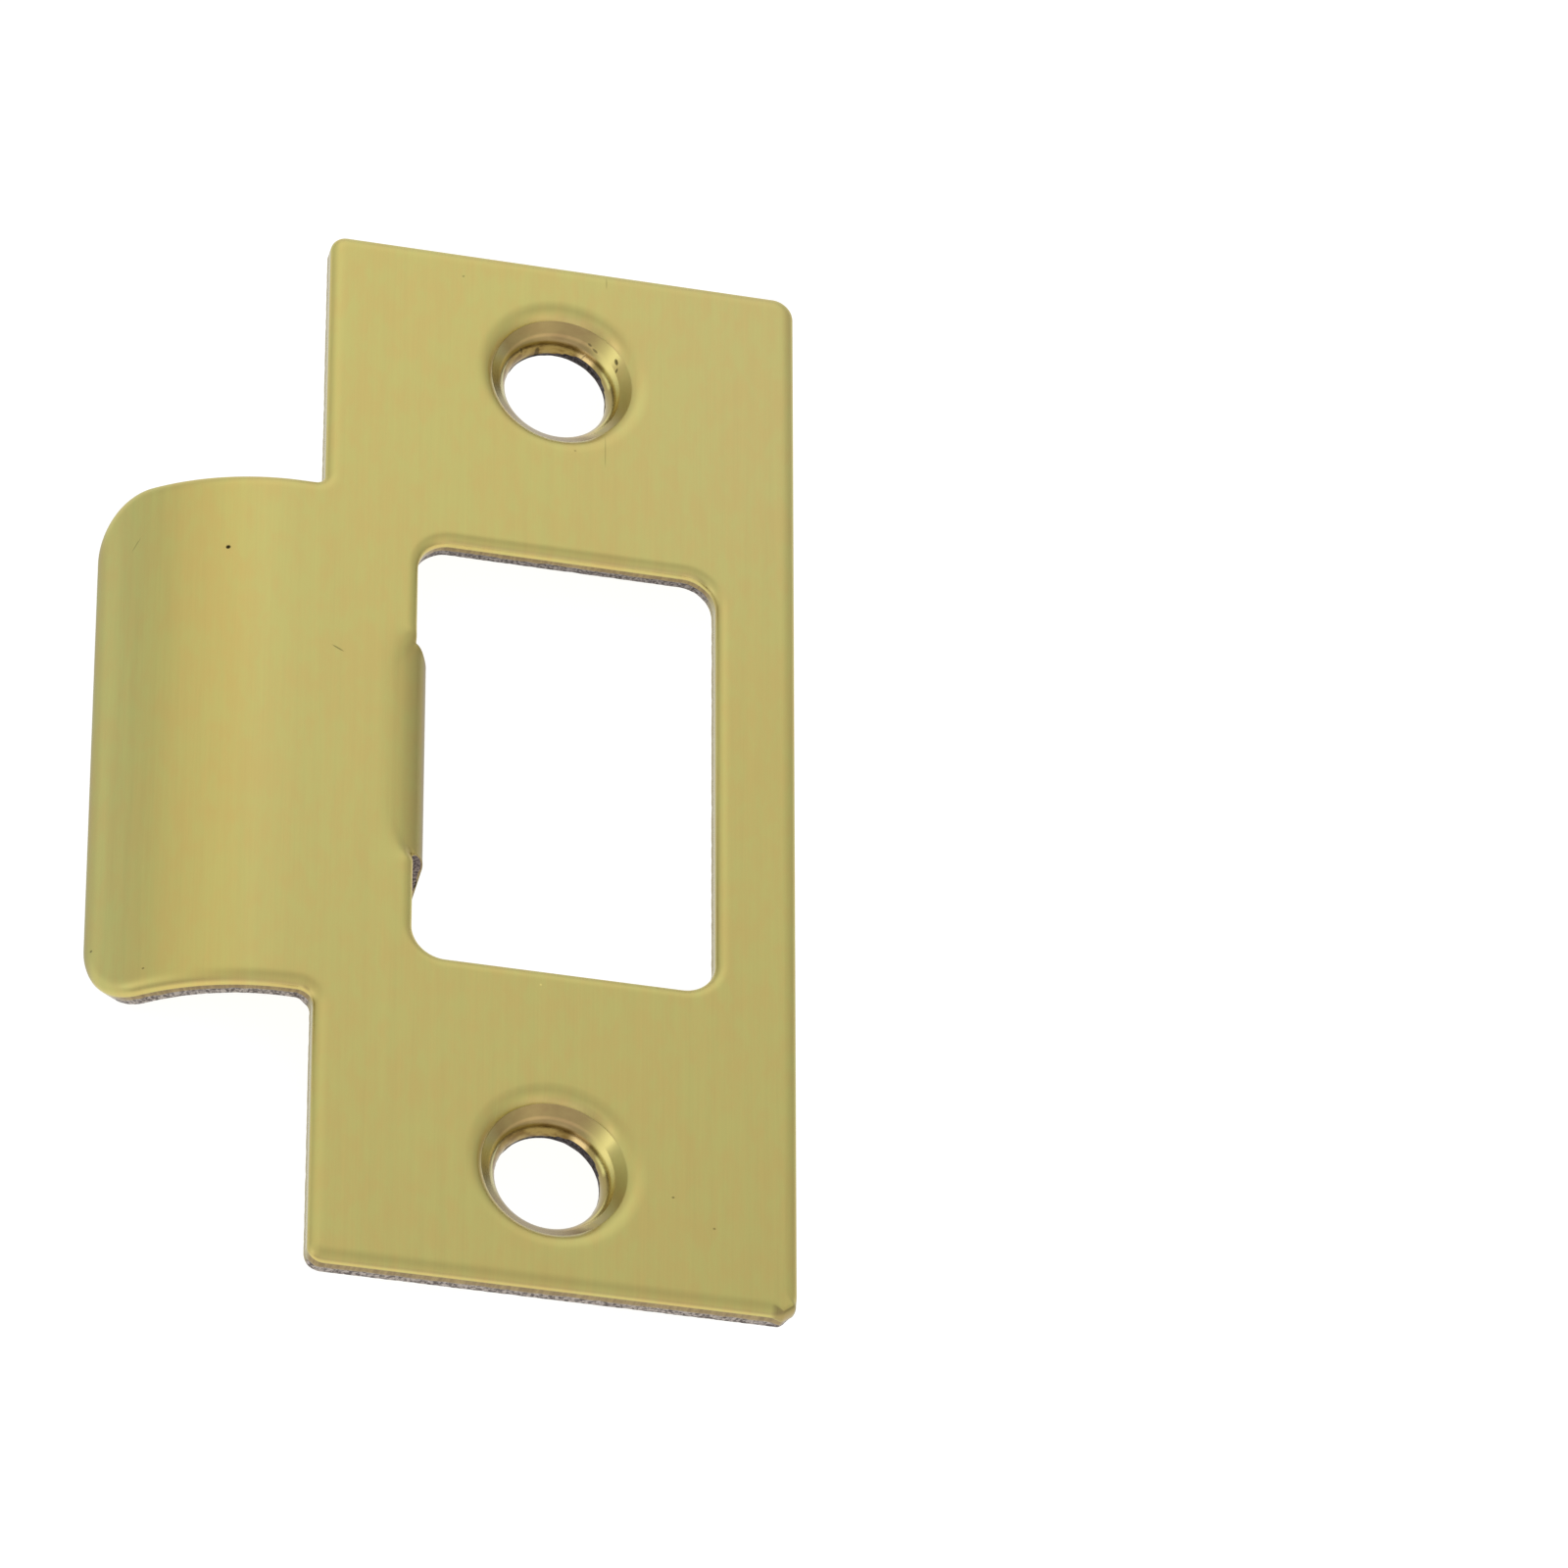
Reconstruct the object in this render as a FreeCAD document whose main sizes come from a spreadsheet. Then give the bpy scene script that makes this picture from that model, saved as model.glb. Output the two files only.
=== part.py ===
import FreeCAD, Part
import math
import os
import Sketcher

# Door strike plate, one pressed brass sheet: a T-shaped plate whose stem is
# rolled down as the latch lip, a pierced latch opening with a tab turned down
# from its edge on the lip side, and a pressed countersink at each end.
#
# Frame: +Z is the outward normal of the visible front face, +Y runs along the
# long side, and the lip points along -X. The origin is on the flat back face,
# midway between the two screw holes.

doc = FreeCAD.newDocument("strike")

# ---------------------------------------------------------------- dimensions
TABLE = [
    ("plate_width", 28.575, "plate, across X"),
    ("plate_height", 69.85, "plate, along Y"),
    ("sheet_thickness", 1.6, "thickness of the sheet"),
    ("plate_corner_radius", 0.95, "corners of the plate outline"),
    ("lip_width", 34.55, "lip, along Y"),
    ("lip_flat", 1.4, "flat run of the lip beyond the plate's edge"),
    ("lip_bend_radius", 13.36, "front surface of the rolled lip"),
    ("lip_bend_angle", 57.4, "turn of the lip, degrees"),
    ("lip_corner_radius", 4.05, "corners at the lip's end"),
    ("neck_radius", 0.75, "inner corners where the lip leaves the plate"),
    ("opening_width", 18.1, "latch opening, across X"),
    ("opening_height", 28.32, "latch opening, along Y"),
    ("opening_shift", 0.45, "centre of the opening from the centre line, +X"),
    ("opening_corner_radius", 2.0, "corners of the latch opening"),
    ("edge_roll_radius", 0.65, "soft front edge left by the press"),
    ("tab_width", 14.4, "turned tab, along Y"),
    ("tab_lead_radius", 5.5, "gentle first part of the tab's bend, outer side"),
    ("tab_lead_angle", 25.0, "turn of that first part, degrees"),
    ("tab_bend_radius", 1.75, "tight second part of the tab's bend, outer side"),
    ("tab_bend_angle", 86.6, "whole turn of the tab, degrees"),
    ("tab_reach", 0.95, "tab's outer face beyond the opening's edge"),
    ("tab_depth", 7.0, "tip of the tab below the front face"),
    ("screw_spacing", 53.975, "screw hole to screw hole"),
    ("screw_hole_radius", 3.15, "through hole"),
    ("crease_radius", 4.35, "sharp upper edge of the countersink"),
    ("crease_depth", 0.55, "upper edge of the countersink below the face"),
    ("cone_depth", 1.9, "bottom of the cone below the face"),
    ("dish_radius", 5.6, "where the face starts to sink round the screw"),
    ("boss_depth", 2.7, "back rim of the pressed countersink below the face"),
    ("boss_rim_radius", 4.25, "outside of the back rim"),
    ("boss_root_radius", 6.1, "where the back face starts to swell"),
]
sheet = doc.addObject("Spreadsheet::Sheet", "dims")
for row, (alias, value, note) in enumerate(TABLE, start=1):
    sheet.set("A%d" % row, note)
    sheet.set("B%d" % row, str(value))
    sheet.setAlias("B%d" % row, alias)
doc.recompute()


class Size:
    """A length kept both as a number and as the expression that gives it."""

    def __init__(self, value, text):
        self.value = value
        self.text = text

    def __add__(self, other):
        other = size(other)
        return Size(self.value + other.value, "(%s + %s)" % (self.text, other.text))

    def __sub__(self, other):
        other = size(other)
        return Size(self.value - other.value, "(%s - %s)" % (self.text, other.text))

    def __mul__(self, other):
        other = size(other)
        return Size(self.value * other.value, "(%s * %s)" % (self.text, other.text))

    def __truediv__(self, other):
        other = size(other)
        return Size(self.value / other.value, "(%s / %s)" % (self.text, other.text))

    def __neg__(self):
        return Size(-self.value, "(0 - %s)" % self.text)


def size(item):
    if isinstance(item, Size):
        return item
    return Size(float(item), "%g" % item)


def sine(angle):
    return Size(math.sin(math.radians(angle.value)), "sin(%s)" % angle.text)


def cosine(angle):
    return Size(math.cos(math.radians(angle.value)), "cos(%s)" % angle.text)


D = {alias: Size(value, "dims.%s" % alias) for alias, value, note in TABLE}
THICK = D["sheet_thickness"]
ZERO = size(0)


# ------------------------------------------------------------------- helpers
body = doc.addObject("PartDesign::Body", "strike_plate")
body.Label = "strike_plate"
body.Placement = FreeCAD.Placement()
doc.recompute()


def plane(role):
    for feature in body.Origin.OriginFeatures:
        if feature.Role == role:
            return feature
    raise RuntimeError("no origin plane " + role)


def new_sketch(name, role):
    sketch = body.newObject("Sketcher::SketchObject", name)
    sketch.AttachmentSupport = [(plane(role), "")]
    sketch.MapMode = "FlatFace"
    doc.recompute()
    return sketch


def pin_point(sketch, geo, pos, point):
    """Hold one end of a curve at a point given by two sizes."""
    for kind, item in (("DistanceX", point[0]), ("DistanceY", point[1])):
        item = size(item)
        index = sketch.addConstraint(
            Sketcher.Constraint(kind, -1, 1, geo, pos, item.value)
        )
        sketch.setExpression("Constraints[%d]" % index, item.text)


def draw_profile(sketch, points, arcs):
    """A closed outline through points. arcs maps the index of a stretch to
    (radius, centre, turn): turn is +1 counter-clockwise, -1 clockwise."""
    count = len(points)
    ends = []
    for i in range(count):
        a = points[i]
        b = points[(i + 1) % count]
        start = FreeCAD.Vector(size(a[0]).value, size(a[1]).value, 0)
        stop = FreeCAD.Vector(size(b[0]).value, size(b[1]).value, 0)
        if i in arcs:
            radius, centre, turn = arcs[i]
            middle = FreeCAD.Vector(size(centre[0]).value, size(centre[1]).value, 0)
            first = math.atan2(start.y - middle.y, start.x - middle.x)
            last = math.atan2(stop.y - middle.y, stop.x - middle.x)
            circle = Part.Circle(middle, FreeCAD.Vector(0, 0, 1), size(radius).value)
            if turn > 0:
                while last < first:
                    last += 2 * math.pi
                geo = sketch.addGeometry(Part.ArcOfCircle(circle, first, last), False)
                ends.append((geo, 1, 2))
            else:
                while first < last:
                    first += 2 * math.pi
                geo = sketch.addGeometry(Part.ArcOfCircle(circle, last, first), False)
                ends.append((geo, 2, 1))
        else:
            geo = sketch.addGeometry(Part.LineSegment(start, stop), False)
            ends.append((geo, 1, 2))
    for i in range(count):
        geo, first, last = ends[i]
        nxt = ends[(i + 1) % count]
        sketch.addConstraint(
            Sketcher.Constraint("Coincident", geo, last, nxt[0], nxt[1])
        )
    for i in range(count):
        geo, first, last = ends[i]
        pin_point(sketch, geo, first, points[i])
    for i, (radius, centre, turn) in arcs.items():
        index = sketch.addConstraint(
            Sketcher.Constraint("Radius", ends[i][0], size(radius).value)
        )
        sketch.setExpression("Constraints[%d]" % index, size(radius).text)
    doc.recompute()


def draw_round_rectangle(sketch, left, right, low, high, radius):
    points = [
        (left + radius, low), (right - radius, low),
        (right, low + radius), (right, high - radius),
        (right - radius, high), (left + radius, high),
        (left, high - radius), (left, low + radius),
    ]
    arcs = {
        1: (radius, (right - radius, low + radius), 1),
        3: (radius, (right - radius, high - radius), 1),
        5: (radius, (left + radius, high - radius), 1),
        7: (radius, (left + radius, low + radius), 1),
    }
    draw_profile(sketch, points, arcs)


def add_feature(kind, name, sketch):
    feature = body.newObject(kind, name)
    feature.Profile = sketch
    sketch.Visibility = False
    return feature


def edges_where(test):
    """Names of the edges of the current solid whose two ends and middle all
    pass the test."""
    names = []
    for index, edge in enumerate(body.Shape.Edges, start=1):
        first, last = edge.ParameterRange
        places = [edge.valueAt(first), edge.valueAt((first + last) / 2), edge.valueAt(last)]
        if all(test(place) for place in places):
            names.append("Edge%d" % index)
    return names


def add_fillet(name, edges, radius):
    base = body.Tip
    feature = body.newObject("PartDesign::Fillet", name)
    feature.Base = (base, edges)
    feature.Radius = size(radius).value
    feature.setExpression("Radius", size(radius).text)
    body.Tip = feature
    doc.recompute()
    return feature


def near(a, b, slack=0.01):
    return abs(a - b) < slack


# ----------------------------------------------------------------- the plate
half_width = D["plate_width"] / 2
half_height = D["plate_height"] / 2
half_lip = D["lip_width"] / 2

outline = new_sketch("plate_outline", "XY_Plane")
draw_round_rectangle(
    outline, -half_width, half_width, -half_height, half_height,
    D["plate_corner_radius"],
)
plate = add_feature("PartDesign::Pad", "plate", outline)
plate.Length = THICK.value
plate.setExpression("Length", THICK.text)
doc.recompute()

# ------------------------------------------------------------------- the lip
# One arc of sheet in the XZ plane, tangent to the plate at its flat run.
lip_r = D["lip_bend_radius"]
lip_a = D["lip_bend_angle"]
bend_x = -(half_width + D["lip_flat"])
root_x = -(half_width - 2)
centre = (bend_x, THICK - lip_r)
points = [
    (root_x, THICK),
    (bend_x, THICK),
    (bend_x - lip_r * sine(lip_a), THICK - lip_r + lip_r * cosine(lip_a)),
    (bend_x - (lip_r - THICK) * sine(lip_a),
     THICK - lip_r + (lip_r - THICK) * cosine(lip_a)),
    (bend_x, ZERO),
    (root_x, ZERO),
]
lip_section = new_sketch("lip_section", "XZ_Plane")
draw_profile(
    lip_section, points,
    {1: (lip_r, centre, 1), 3: (lip_r - THICK, centre, -1)},
)
lip = add_feature("PartDesign::Pad", "lip", lip_section)
lip.Midplane = True
lip.Length = D["lip_width"].value
lip.setExpression("Length", D["lip_width"].text)
doc.recompute()

# Corners at the lip's end, cut square to the sheet.
end_x = (bend_x - lip_r * sine(lip_a)).value
inner_x = (bend_x - (lip_r - THICK) * sine(lip_a)).value
add_fillet(
    "lip_corners",
    edges_where(lambda p: end_x - 0.01 < p.x < inner_x + 0.01
                and near(abs(p.y), half_lip.value)),
    D["lip_corner_radius"],
)

# Inner corners between the lip and the plate.
add_fillet(
    "neck_corners",
    edges_where(lambda p: near(p.x, -half_width.value)
                and near(abs(p.y), half_lip.value)),
    D["neck_radius"],
)

# ---------------------------------------------------------- the latch opening
open_left = D["opening_shift"] - D["opening_width"] / 2
open_right = D["opening_shift"] + D["opening_width"] / 2
half_open = D["opening_height"] / 2
volume = body.Shape.Volume
hole = new_sketch("opening_outline", "XY_Plane")
draw_round_rectangle(
    hole, open_left, open_right, -half_open, half_open,
    D["opening_corner_radius"],
)
opening = add_feature("PartDesign::Pocket", "latch_opening", hole)
opening.Type = "ThroughAll"
opening.Midplane = True
doc.recompute()
if not body.Shape.Volume < volume - 700:
    raise RuntimeError("the latch opening cut nothing")


# ------------------------------------------------------- soft pressed edges
# Every edge between the front surface and a cut wall, outside and round the
# opening, is drawn down by the press.
def on_front(p):
    if p.x >= bend_x.value - 0.001:
        return near(p.z, THICK.value)
    reach = math.hypot(p.x - bend_x.value, p.z - (THICK - lip_r).value)
    return near(reach, lip_r.value)


names = []
for index, edge in enumerate(body.Shape.Edges, start=1):
    first, last = edge.ParameterRange
    places = [edge.valueAt(first + (last - first) * k / 4.0) for k in range(5)]
    if not all(on_front(p) for p in places):
        continue
    # The tangent line where the flat meets the bend is no real edge.
    if all(near(p.x, bend_x.value) for p in places) and edge.Length > 5:
        continue
    names.append("Edge%d" % index)
add_fillet("front_edges", names, D["edge_roll_radius"])

# -------------------------------------------------------------- turned tab
# The sheet first sinks gently, starting inside the plate, then turns down
# tightly, and runs straight to the tip. The bend's two arcs are tangent.
lead_r = D["tab_lead_radius"]
lead_a = D["tab_lead_angle"]
tight_r = D["tab_bend_radius"]
tab_a = D["tab_bend_angle"]
half_tab = D["tab_width"] / 2
tab_start = (open_left + D["tab_reach"] - (lead_r - tight_r) * sine(lead_a)
             - tight_r * sine(tab_a))
volume = body.Shape.Volume
gap = new_sketch("tab_gap", "XY_Plane")
draw_profile(
    gap,
    [(tab_start, -half_tab), (open_left + 0.5, -half_tab),
     (open_left + 0.5, half_tab), (tab_start, half_tab)],
    {},
)
tab_gap = add_feature("PartDesign::Pocket", "tab_root_gap", gap)
tab_gap.Type = "ThroughAll"
tab_gap.Midplane = True
doc.recompute()
if not body.Shape.Volume < volume - 10:
    raise RuntimeError("the gap for the tab cut nothing")

lead_centre = (tab_start, THICK - lead_r)
tight_centre = (lead_centre[0] + (lead_r - tight_r) * sine(lead_a),
                lead_centre[1] + (lead_r - tight_r) * cosine(lead_a))


def around(middle, radius, angle):
    return (middle[0] + radius * sine(angle), middle[1] + radius * cosine(angle))


lead_out = around(lead_centre, lead_r, lead_a)
bend_out = around(tight_centre, tight_r, tab_a)
bend_in = around(tight_centre, tight_r - THICK, tab_a)
lead_in = around(lead_centre, lead_r - THICK, lead_a)
# Straight run below the bend, down to the tip.
straight = (D["tab_depth"] - THICK + bend_out[1]) / sine(tab_a)
tip_out = (bend_out[0] + straight * cosine(tab_a), bend_out[1] - straight * sine(tab_a))
tip_in = (bend_in[0] + straight * cosine(tab_a), bend_in[1] - straight * sine(tab_a))
tab_section = new_sketch("tab_section", "XZ_Plane")
draw_profile(
    tab_section,
    [(tab_start, THICK), lead_out, bend_out, tip_out, tip_in, bend_in, lead_in,
     (tab_start, ZERO)],
    {0: (lead_r, lead_centre, -1), 1: (tight_r, tight_centre, -1),
     5: (tight_r - THICK, tight_centre, 1), 6: (lead_r - THICK, lead_centre, 1)},
)
tab = add_feature("PartDesign::Pad", "tab", tab_section)
tab.Midplane = True
tab.Length = D["tab_width"].value
tab.setExpression("Length", D["tab_width"].text)
doc.recompute()

# ------------------------------------------------ pressed countersinks
# The half section of one countersink lies in the YZ plane, on the +Y hole.
hole_y = D["screw_spacing"] / 2


def at(radius, depth):
    """A point of the section: radius from the screw's axis, depth below the
    front face."""
    return (hole_y + radius, THICK - depth)


swell = new_sketch("boss_section", "YZ_Plane")
axis = swell.addGeometry(
    Part.LineSegment(FreeCAD.Vector(hole_y.value, -4, 0), FreeCAD.Vector(hole_y.value, 2, 0)),
    True,
)
pin_point(swell, axis, 1, (hole_y, size(-4)))
pin_point(swell, axis, 2, (hole_y, size(2)))
core = D["screw_hole_radius"] - 0.6
draw_profile(
    swell,
    [at(core, D["cone_depth"] - 0.6), at(core, D["boss_depth"]),
     at(D["boss_rim_radius"], D["boss_depth"]),
     at(D["boss_root_radius"] - 0.75, THICK + 0.18),
     at(D["boss_root_radius"], THICK), at(D["boss_root_radius"], THICK - 0.5)],
    {},
)
boss = add_feature("PartDesign::Revolution", "boss", swell)
boss.ReferenceAxis = (swell, ["Axis0"])
boss.Angle = 360
doc.recompute()

volume = body.Shape.Volume
dish = new_sketch("dish_section", "YZ_Plane")
axis = dish.addGeometry(
    Part.LineSegment(FreeCAD.Vector(hole_y.value, -4, 0), FreeCAD.Vector(hole_y.value, 2, 0)),
    True,
)
pin_point(dish, axis, 1, (hole_y, size(-4)))
pin_point(dish, axis, 2, (hole_y, size(2)))
# The roll into the dish is an arc tangent to the face.
run = D["dish_radius"] - D["crease_radius"]
roll = (run * run + D["crease_depth"] * D["crease_depth"]) / (D["crease_depth"] * 2)
draw_profile(
    dish,
    [at(ZERO, size(-1)), at(D["dish_radius"], size(-1)), at(D["dish_radius"], ZERO),
     at(D["crease_radius"], D["crease_depth"]),
     at(D["screw_hole_radius"], D["cone_depth"]),
     at(D["screw_hole_radius"], D["boss_depth"] + 0.5),
     at(ZERO, D["boss_depth"] + 0.5)],
    {2: (roll, at(D["dish_radius"], roll), 1)},
)
countersink = add_feature("PartDesign::Groove", "countersink", dish)
countersink.ReferenceAxis = (dish, ["Axis0"])
countersink.Angle = 360
doc.recompute()
if not body.Shape.Volume < volume - 40:
    raise RuntimeError("the countersink cut nothing")

# The second screw hole mirrors the first across the middle of the plate.
volume = body.Shape.Volume
other_end = body.newObject("PartDesign::Mirrored", "other_end")
other_end.Originals = [boss, countersink]
other_end.MirrorPlane = (plane("XZ_Plane"), [""])
body.Tip = other_end
doc.recompute()
if near(body.Shape.Volume, volume, 5):
    raise RuntimeError("the mirrored countersink changed nothing")

# --------------------------------------------------------------- check, save
doc.recompute()
for item in doc.Objects:
    if "Invalid" in item.State or "Error" in item.State:
        raise RuntimeError("%s failed: %s" % (item.Name, item.State))
    if item.TypeId == "Sketcher::SketchObject" and item.solve() != 0:
        raise RuntimeError("%s doesn't solve" % item.Name)
shape = body.Shape
if shape.isNull() or not shape.isValid() or len(shape.Solids) != 1:
    raise RuntimeError("strike_plate is not one valid solid")

os.makedirs("parts", exist_ok=True)
shape.exportStep("parts/%s.step" % body.Label)
box = shape.optimalBoundingBox(True, False)
print("strike_plate  X %.3f..%.3f  Y %.3f..%.3f  Z %.3f..%.3f  volume %.1f mm3"
      % (box.XMin, box.XMax, box.YMin, box.YMax, box.ZMin, box.ZMax, shape.Volume))
mass = shape.Solids[0].CenterOfMass
print("centre of mass %.3f %.3f %.3f" % (mass.x, mass.y, mass.z))
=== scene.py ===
import math

import bpy
import numpy as np
from mathutils import Matrix, Vector, noise
from mathutils.geometry import delaunay_2d_cdt


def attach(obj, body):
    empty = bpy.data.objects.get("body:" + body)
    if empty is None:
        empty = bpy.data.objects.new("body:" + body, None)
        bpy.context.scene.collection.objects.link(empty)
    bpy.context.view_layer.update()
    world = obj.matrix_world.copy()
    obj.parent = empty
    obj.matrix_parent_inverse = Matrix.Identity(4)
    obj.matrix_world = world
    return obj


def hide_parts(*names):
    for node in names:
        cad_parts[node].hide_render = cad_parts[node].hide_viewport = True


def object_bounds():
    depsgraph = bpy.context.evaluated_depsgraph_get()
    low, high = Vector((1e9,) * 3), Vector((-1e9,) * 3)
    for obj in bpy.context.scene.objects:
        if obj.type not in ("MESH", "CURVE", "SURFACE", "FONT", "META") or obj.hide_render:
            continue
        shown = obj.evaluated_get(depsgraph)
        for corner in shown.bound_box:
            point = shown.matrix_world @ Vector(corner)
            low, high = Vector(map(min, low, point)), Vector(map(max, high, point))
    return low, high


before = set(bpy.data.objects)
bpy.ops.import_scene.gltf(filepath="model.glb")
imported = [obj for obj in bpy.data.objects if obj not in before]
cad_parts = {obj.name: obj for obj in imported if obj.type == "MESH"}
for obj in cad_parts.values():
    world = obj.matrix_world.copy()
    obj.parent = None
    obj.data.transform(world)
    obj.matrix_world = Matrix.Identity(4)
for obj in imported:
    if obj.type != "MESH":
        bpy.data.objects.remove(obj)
CAD_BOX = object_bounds()

# A pressed brass strike plate. The mesh is laid out on the flat blank the
# plate is pressed from: s runs across the plate and on round the lip's and the
# tab's bends, y along the plate, and depth goes from the front face (0) to the
# back (T). place() bends a point of the blank to where the press leaves it.
# Lengths are in millimetres until the mesh is made.
T = 1.6
HALF_W, HALF_H, HALF_LIP = 14.2875, 34.925, 17.275
BEND_S, BEND_R, BEND_A = -15.6875, 13.36, math.radians(57.4)
LIP_END = BEND_S - BEND_R * BEND_A + 0.015
OPEN_L, OPEN_R, OPEN_H = -8.6, 9.5, 14.16
TAB_Y, TAB_TIP_DEPTH = 7.2, 7.0
TAB_S0 = -10.99  # where the sheet starts to sink towards the tab
LEAD_R, LEAD_A = 5.5, math.radians(25)
TIGHT_R, TURN = 1.75, math.radians(86.6)
HOLE_Y = 26.9875
ROLL = 0.85, 0.5  # die roll of the outer edges: width, depth
OPEN_ROLL = 0.72, 0.5
TAB_ROLL = 0.07, 0.06


def smoothstep(x, low, high):
    t = np.clip((np.asarray(x, float) - low) / (high - low), 0, 1)
    return t * t * (3 - 2 * t)


# ------------------------------------------------------------------ the bends
TIGHT_S = TAB_S0 + (LEAD_R - TIGHT_R) * math.sin(LEAD_A)
TIGHT_D = LEAD_R - (LEAD_R - TIGHT_R) * math.cos(LEAD_A)
START_A = math.asin((OPEN_L - TIGHT_S) / TIGHT_R)
SINK = TIGHT_D - TIGHT_R * math.cos(START_A)
START_SLOPE = math.tan(START_A)
REACH = TIGHT_R * (math.sin(TURN) - math.sin(START_A)) + 0.045
# Past 72 degrees the bend opens out.
SOFT_A, SOFT_R = math.radians(72), 4.2
SOFT_REACH = SOFT_R * (math.sin(TURN) - math.sin(SOFT_A))


def bend(st, w, tip=None):
    """x, depth and tilt of the tab's front at st, past the opening's edge,
    where the sheet has sunk by w of its full depth."""
    a0 = np.arctan(w * START_SLOPE)
    r = (REACH - SOFT_REACH) / (math.sin(SOFT_A) - np.sin(a0))
    tight, soft = r * (SOFT_A - a0), SOFT_R * (TURN - SOFT_A)
    t = st - OPEN_L
    a = a0 + np.clip(t, 0, tight) / r + np.clip(t - tight, 0, soft) / SOFT_R
    low, high = np.minimum(a, SOFT_A), np.maximum(a, SOFT_A)
    x = r * (np.sin(low) - np.sin(a0)) + SOFT_R * (np.sin(high) - math.sin(SOFT_A))
    d = w * SINK + r * (np.cos(a0) - np.cos(low))
    d = d + SOFT_R * (math.cos(SOFT_A) - np.cos(high))
    bent = w * SINK + r * (np.cos(a0) - math.cos(SOFT_A))
    bent = bent + SOFT_R * (math.cos(SOFT_A) - math.cos(TURN))
    rest = (TAB_TIP_DEPTH - bent) / math.sin(TURN)
    if tip is None:
        return OPEN_L + tight + soft, OPEN_L + tight + soft + rest
    run = np.clip((t - tight - soft) / (tip - OPEN_L - tight - soft), 0, 1.2) * rest
    return OPEN_L + x + run * math.cos(TURN), d + run * math.sin(TURN), a


BEND_END, TAB_TIP = (float(v) for v in bend(0.0, 1.0))


def lead_depth(s):
    """How far the sheet has sunk at s, in the middle of the tab."""
    s = np.asarray(s, float)
    lead = LEAD_R - np.sqrt(np.maximum(LEAD_R**2 - (s - TAB_S0) ** 2, 0))
    tight = TIGHT_D - np.sqrt(np.maximum(TIGHT_R**2 - (s - TIGHT_S) ** 2, 0.05))
    edge = TAB_S0 + LEAD_R * math.sin(LEAD_A)
    return np.where(s < TAB_S0, 0, np.where(s < edge, lead, tight))


def sunk(s, y):
    """1 along the tab, fading to 0 past its ends: gently in the plate, and
    within a millimetre at the opening, where the sheet has torn."""
    past = np.where(y > 0, y + 0.45, -y)
    near = smoothstep(s, -10.4, -8.7)
    low, high = 4.6 + 2.4 * near, 8.6 - 0.6 * near
    t = np.clip((past - low) / (high - low), 0, 1)
    return (1 - t * t * (3 - 2 * t)) * (np.asarray(s) < 5)


def front(s, y):
    """x, z of the front surface."""
    s, y = np.broadcast_arrays(np.asarray(s, float), np.asarray(y, float))
    w = sunk(s, y)
    x, z = s.copy(), T - w * lead_depth(np.minimum(s, OPEN_L))
    lip = s < BEND_S
    a = (BEND_S - s[lip]) / BEND_R
    x[lip] = BEND_S - BEND_R * np.sin(a)
    z[lip] = T - BEND_R + BEND_R * np.cos(a)
    tab = (s > OPEN_L) & (np.abs(y) < TAB_Y + 0.6) & (s < TAB_TIP + 0.01)
    if tab.any():
        x[tab], depth, _ = bend(s[tab], w[tab], TAB_TIP)
        z[tab] = T - depth
    return x, z


def back(s, y):
    """x, z of the back surface."""
    s, y = np.broadcast_arrays(np.asarray(s, float), np.asarray(y, float))
    fx, fz = front(s, y)
    x, z = fx.copy(), fz - T
    lip = s < BEND_S
    a = (BEND_S - s[lip]) / BEND_R
    x[lip] = BEND_S - (BEND_R - T) * np.sin(a)
    z[lip] = T - BEND_R + (BEND_R - T) * np.cos(a)
    tab = (s > TAB_S0) & (np.abs(y) < TAB_Y + 0.2) & (s < TAB_TIP + 0.01)
    if tab.any():
        st, w = s[tab], sunk(s[tab], y[tab])
        # Middle of the tab: a true offset of the bend.
        edge = TAB_S0 + LEAD_R * math.sin(LEAD_A)
        a = np.arcsin(np.clip((st - TAB_S0) / LEAD_R, 0, 1))
        tight = np.arcsin(np.clip((st - TIGHT_S) / TIGHT_R, -1, 1))
        a = np.where(st > edge, tight, a)
        a = np.where(st > OPEN_L, bend(st, w, TAB_TIP)[2], a)
        bx = fx[tab] - T * np.sin(a)
        bd = T - fz[tab] + T * np.cos(a)
        # Sides of the tab: the plate's own back runs on to the opening's edge,
        # and the tab's inner face starts below it.
        sx = np.minimum(st, OPEN_L).copy()
        sd = T + w * lead_depth(np.minimum(st, OPEN_L))
        corner = T + w * SINK
        fd = T - fz[tab]
        u = np.clip((st - OPEN_L) / (BEND_END - OPEN_L), 0, 1)
        past = st > OPEN_L
        sx = np.where(past, OPEN_L - 0.12 * u, sx)
        sd = np.where(past, corner + 0.05 * u, sd)
        t = np.clip((fd - (corner - 0.1)) / 1.1, 0, 1)
        run = st > BEND_END
        inner = fx[tab] - T * math.sin(TURN)
        sx = np.where(run, (OPEN_L - 0.12) * (1 - t) + inner * t, sx)
        sd = np.where(
            run, np.maximum(corner + 0.05 + 0.35 * t, fd + T * math.cos(TURN)), sd
        )
        q = smoothstep(np.where(y[tab] > 0, y[tab] + 0.85, -y[tab]), 5.9, TAB_Y)
        x[tab] = q * sx + (1 - q) * bx
        z[tab] = T - (q * sd + (1 - q) * bd)
    return x, z


def place(s, y, depth):
    fx, fz = front(s, y)
    bx, bz = back(s, y)
    t = np.asarray(depth, float) / T
    return np.stack([fx + (bx - fx) * t, np.broadcast_to(y, fx.shape),
                     fz + (bz - fz) * t], -1)


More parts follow.
